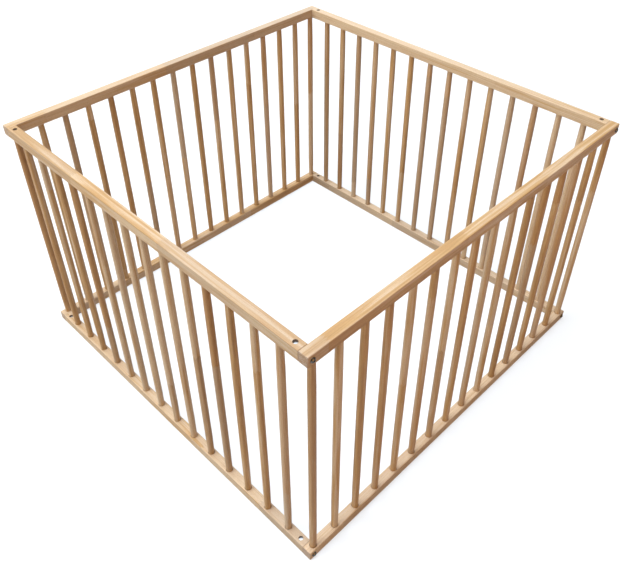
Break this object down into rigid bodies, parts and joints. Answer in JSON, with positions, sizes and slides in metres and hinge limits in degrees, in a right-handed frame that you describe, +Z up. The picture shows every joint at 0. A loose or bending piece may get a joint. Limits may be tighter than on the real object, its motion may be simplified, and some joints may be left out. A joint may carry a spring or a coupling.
{
  "type": "playpen",
  "caption": "Square wooden playpen: barred panels of round spindles between plain rails, bolted together at the corners, open at the top and at the floor.",
  "frame": {"origin": "on the floor, at the centre of the pen's footprint", "axes": "+X to the right, across the bolted outer faces; +Y from the front panel to the back panel; +Z up"},
  "size_m": [1.007, 1, 0.625],
  "materials": {
    "rail_beech": "planed natural beech, bare or lightly oiled",
    "spindle_beech": "turned natural beech dowel, sanded",
    "bolt_steel": "plated steel, dark and bright",
    "nut_steel": "zinc-plated steel"
  },
  "bodies": {
    "frame": {"left_bottom_rail": "rail_beech", "right_bottom_rail": "rail_beech", "front_bottom_rail": "rail_beech", "back_bottom_rail": "rail_beech", "left_top_rail": "rail_beech", "right_top_rail": "rail_beech", "front_top_rail": "rail_beech", "back_top_rail": "rail_beech", "left_spindles": "spindle_beech", "right_spindles": "spindle_beech", "front_spindles": "spindle_beech", "back_spindles": "spindle_beech", "front_left_bottom_barrel_nut": "nut_steel", "front_left_top_barrel_nut": "nut_steel", "front_right_bottom_barrel_nut": "nut_steel", "front_right_top_barrel_nut": "nut_steel", "back_left_bottom_barrel_nut": "nut_steel", "back_left_top_barrel_nut": "nut_steel", "back_right_bottom_barrel_nut": "nut_steel", "back_right_top_barrel_nut": "nut_steel"},
    "front_left_bottom_bolt": {"front_left_bottom_bolt": "bolt_steel"},
    "front_left_top_bolt": {"front_left_top_bolt": "bolt_steel"},
    "front_right_bottom_bolt": {"front_right_bottom_bolt": "bolt_steel"},
    "front_right_top_bolt": {"front_right_top_bolt": "bolt_steel"},
    "back_left_bottom_bolt": {"back_left_bottom_bolt": "bolt_steel"},
    "back_left_top_bolt": {"back_left_top_bolt": "bolt_steel"},
    "back_right_bottom_bolt": {"back_right_bottom_bolt": "bolt_steel"},
    "back_right_top_bolt": {"back_right_top_bolt": "bolt_steel"}
  },
  "joints": [
    {"name": "front_left_bottom_bolt_withdrawal", "type": "slide", "parent": "frame", "child": "front_left_bottom_bolt", "axis": [-1, 0, 0], "range_m": [0, 0.046]},
    {"name": "front_left_top_bolt_withdrawal", "type": "slide", "parent": "frame", "child": "front_left_top_bolt", "axis": [-1, 0, 0], "range_m": [0, 0.046]},
    {"name": "front_right_bottom_bolt_withdrawal", "type": "slide", "parent": "frame", "child": "front_right_bottom_bolt", "axis": [1, 0, 0], "range_m": [0, 0.046]},
    {"name": "front_right_top_bolt_withdrawal", "type": "slide", "parent": "frame", "child": "front_right_top_bolt", "axis": [1, 0, 0], "range_m": [0, 0.046]},
    {"name": "back_left_bottom_bolt_withdrawal", "type": "slide", "parent": "frame", "child": "back_left_bottom_bolt", "axis": [-1, 0, 0], "range_m": [0, 0.046]},
    {"name": "back_left_top_bolt_withdrawal", "type": "slide", "parent": "frame", "child": "back_left_top_bolt", "axis": [-1, 0, 0], "range_m": [0, 0.046]},
    {"name": "back_right_bottom_bolt_withdrawal", "type": "slide", "parent": "frame", "child": "back_right_bottom_bolt", "axis": [1, 0, 0], "range_m": [0, 0.046]},
    {"name": "back_right_top_bolt_withdrawal", "type": "slide", "parent": "frame", "child": "back_right_top_bolt", "axis": [1, 0, 0], "range_m": [0, 0.046]}
  ]
}
